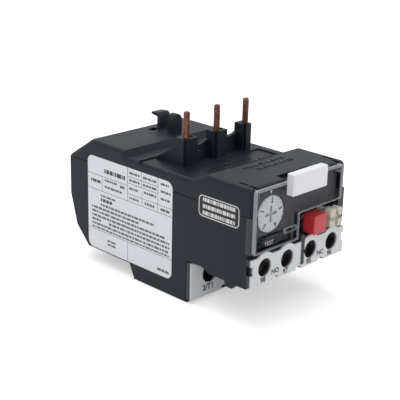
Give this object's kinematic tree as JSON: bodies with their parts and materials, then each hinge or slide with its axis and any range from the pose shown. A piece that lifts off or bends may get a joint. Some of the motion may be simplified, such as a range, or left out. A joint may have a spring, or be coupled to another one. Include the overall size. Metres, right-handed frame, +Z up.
{
  "type": "thermal overload relay",
  "caption": "Boxy three-pole thermal overload relay with plug-in pins, clear hinged cover, setting dial, stop and reset buttons and screw terminals.",
  "frame": {"origin": "middle of the outline, at the flat underside of the power terminal end", "axes": "+Z up along the contact pins, -Y towards the dial and buttons, +X to the right seen from the front"},
  "size_m": [0.045, 0.0896, 0.0605],
  "materials": {
    "case_plastic": "fine moulded texture",
    "clear_cover": "clear polycarbonate",
    "white_plastic": "satin",
    "dial_plastic": "satin",
    "inner_plastic": "satin",
    "red_plastic": "semi-gloss",
    "cream_plastic": "semi-gloss",
    "grey_plastic": "satin",
    "spring_steel": "drawn wire",
    "zinc_steel": "zinc plated",
    "brass": "rolled",
    "copper": "bare copper, slightly oxidised",
    "heater_metal": "rolled resistance strip",
    "bimetal": "rolled bimetal",
    "blade_bronze": "rolled spring bronze",
    "label_paper": "printed film",
    "seal_film": "printed film"
  },
  "bodies": {
    "case": {"case_lid": "case_plastic", "case_base": "case_plastic", "front_panel": "case_plastic", "aux_terminal_block": "grey_plastic", "aux_terminal_bar_98": "brass", "aux_terminal_bar_97": "brass", "aux_terminal_bar_95": "brass", "aux_terminal_bar_96": "brass", "power_terminal_block": "grey_plastic", "power_terminal_plate_1": "brass", "power_terminal_plate_2": "brass", "power_terminal_plate_3": "brass", "contact_pin_1": "copper", "contact_pin_2": "copper", "contact_pin_3": "copper", "phase_conductor_1": "copper", "phase_conductor_2": "copper", "phase_conductor_3": "copper", "heater_winding_1": "heater_metal", "heater_winding_2": "heater_metal", "heater_winding_3": "heater_metal", "bimetal_holder_1": "zinc_steel", "bimetal_holder_2": "zinc_steel", "bimetal_holder_3": "zinc_steel", "lever_pivot_pin": "zinc_steel", "rocker_pivot_pin": "zinc_steel", "rating_label": "label_paper", "seal_sticker": "seal_film"},
    "cover": {"clear_cover": "clear_cover", "marker_plate": "white_plastic"},
    "dial": {"setting_dial": "dial_plastic", "adjusting_cam": "inner_plastic"},
    "stop": {"stop_button": "red_plastic", "stop_spring": "spring_steel"},
    "reset": {"reset_plunger": "inner_plastic", "reset_spring": "spring_steel"},
    "reset_turn": {"reset_knob": "cream_plastic"},
    "test": {"test_slide": "case_plastic"},
    "trip": {"trip_slide": "inner_plastic", "differential_lever": "inner_plastic"},
    "differential": {"differential_slide": "inner_plastic"},
    "bimetal_1": {"bimetal_strip_1": "bimetal"},
    "bimetal_2": {"bimetal_strip_2": "bimetal"},
    "bimetal_3": {"bimetal_strip_3": "bimetal"},
    "compensation": {"compensation_lever": "zinc_steel", "compensation_strip": "bimetal"},
    "rocker": {"trip_rocker": "inner_plastic"},
    "no_blade": {"no_contact_blade": "blade_bronze"},
    "nc_blade": {"nc_contact_blade": "blade_bronze"},
    "aux_screw_98": {"aux_terminal_screw_98": "zinc_steel"},
    "aux_screw_97": {"aux_terminal_screw_97": "zinc_steel"},
    "aux_screw_95": {"aux_terminal_screw_95": "zinc_steel"},
    "aux_screw_96": {"aux_terminal_screw_96": "zinc_steel"},
    "power_screw_1": {"power_terminal_screw_1": "zinc_steel"},
    "power_screw_2": {"power_terminal_screw_2": "zinc_steel"},
    "power_screw_3": {"power_terminal_screw_3": "zinc_steel"}
  },
  "joints": [
    {"name": "cover_hinge", "type": "hinge", "parent": "case", "child": "cover", "pos_m": [0, -0.0389, 0.0435], "axis": [-1, 0, 0], "range_deg": [0, 90]},
    {"name": "dial_turn", "type": "hinge", "parent": "case", "child": "dial", "pos_m": [-0.0127, -0.0389, 0.0355], "axis": [0, 1, 0], "range_deg": [-135, 135]},
    {"name": "stop_push", "type": "slide", "parent": "case", "child": "stop", "axis": [0, 1, 0], "range_m": [0, 0.0025], "stiffness_N_per_m": 600, "springref_m": -0.001, "deforming": ["stop_spring"]},
    {"name": "reset_push", "type": "slide", "parent": "case", "child": "reset", "axis": [0, 1, 0], "range_m": [0, 0.0025], "stiffness_N_per_m": 600, "springref_m": -0.001, "deforming": ["reset_spring"]},
    {"name": "reset_select", "type": "hinge", "parent": "reset", "child": "reset_turn", "pos_m": [0.015, -0.0429, 0.0286], "axis": [0, 1, 0], "range_deg": [0, 90]},
    {"name": "test_slide_push", "type": "slide", "parent": "case", "child": "test", "axis": [1, 0, 0], "range_m": [0, 0.002], "stiffness_N_per_m": 300, "springref_m": -0.0005},
    {"name": "trip_travel", "type": "slide", "parent": "case", "child": "trip", "axis": [-1, 0, 0], "range_m": [0, 0.0015], "stiffness_N_per_m": 150, "springref_m": -0.0003},
    {"name": "differential_travel", "type": "slide", "parent": "case", "child": "differential", "axis": [-1, 0, 0], "range_m": [0, 0.0016]},
    {"name": "bimetal_1_bend", "type": "hinge", "parent": "case", "child": "bimetal_1", "pos_m": [-0.0133, 0.0251, 0.0178], "axis": [0, -1, 0], "range_deg": [0, 4.2]},
    {"name": "bimetal_2_bend", "type": "hinge", "parent": "case", "child": "bimetal_2", "pos_m": [0.0006, 0.0251, 0.0178], "axis": [0, -1, 0], "range_deg": [0, 4.2]},
    {"name": "bimetal_3_bend", "type": "hinge", "parent": "case", "child": "bimetal_3", "pos_m": [0.0145, 0.0251, 0.0178], "axis": [0, -1, 0], "range_deg": [0, 4.2]},
    {"name": "compensation_turn", "type": "hinge", "parent": "case", "child": "compensation", "pos_m": [-0.01815, -0.0099, 0.0387], "axis": [0, 0, 1], "range_deg": [0, 2.7]},
    {"name": "rocker_turn", "type": "hinge", "parent": "case", "child": "rocker", "pos_m": [-0.003, -0.0265, 0.0325], "axis": [0, 1, 0], "range_deg": [0, 6.5]},
    {"name": "no_blade_bend", "type": "hinge", "parent": "case", "child": "no_blade", "pos_m": [-0.00645, -0.0219, 0.0229], "axis": [0, -1, 0], "range_deg": [0, 9.5]},
    {"name": "nc_blade_bend", "type": "hinge", "parent": "case", "child": "nc_blade", "pos_m": [0.00715, -0.0219, 0.0229], "axis": [0, -1, 0], "range_deg": [0, 9.5]},
    {"name": "power_screw_1_back_out", "type": "slide", "parent": "case", "child": "power_screw_1", "axis": [0, -1, 0], "range_m": [0, 0.003]},
    {"name": "power_screw_2_back_out", "type": "slide", "parent": "case", "child": "power_screw_2", "axis": [0, -1, 0], "range_m": [0, 0.003]},
    {"name": "power_screw_3_back_out", "type": "slide", "parent": "case", "child": "power_screw_3", "axis": [0, -1, 0], "range_m": [0, 0.003]},
    {"name": "aux_screw_98_back_out", "type": "slide", "parent": "case", "child": "aux_screw_98", "axis": [0, -1, 0], "range_m": [0, 0.0024]},
    {"name": "aux_screw_97_back_out", "type": "slide", "parent": "case", "child": "aux_screw_97", "axis": [0, -1, 0], "range_m": [0, 0.0024]},
    {"name": "aux_screw_95_back_out", "type": "slide", "parent": "case", "child": "aux_screw_95", "axis": [0, -1, 0], "range_m": [0, 0.0024]},
    {"name": "aux_screw_96_back_out", "type": "slide", "parent": "case", "child": "aux_screw_96", "axis": [0, -1, 0], "range_m": [0, 0.0024]}
  ],
  "couplings": [
    {"joint": "differential_travel", "follows": "trip_travel", "ratio": 1},
    {"joint": "bimetal_1_bend", "follows": "trip_travel", "rad_per_m": 45.7},
    {"joint": "bimetal_2_bend", "follows": "trip_travel", "rad_per_m": 45.7},
    {"joint": "bimetal_3_bend", "follows": "trip_travel", "rad_per_m": 45.7},
    {"joint": "compensation_turn", "follows": "trip_travel", "rad_per_m": 28.57},
    {"joint": "rocker_turn", "follows": "trip_travel", "rad_per_m": 69.8},
    {"joint": "no_blade_bend", "follows": "trip_travel", "rad_per_m": 104.7},
    {"joint": "nc_blade_bend", "follows": "trip_travel", "rad_per_m": 104.7}
  ]
}
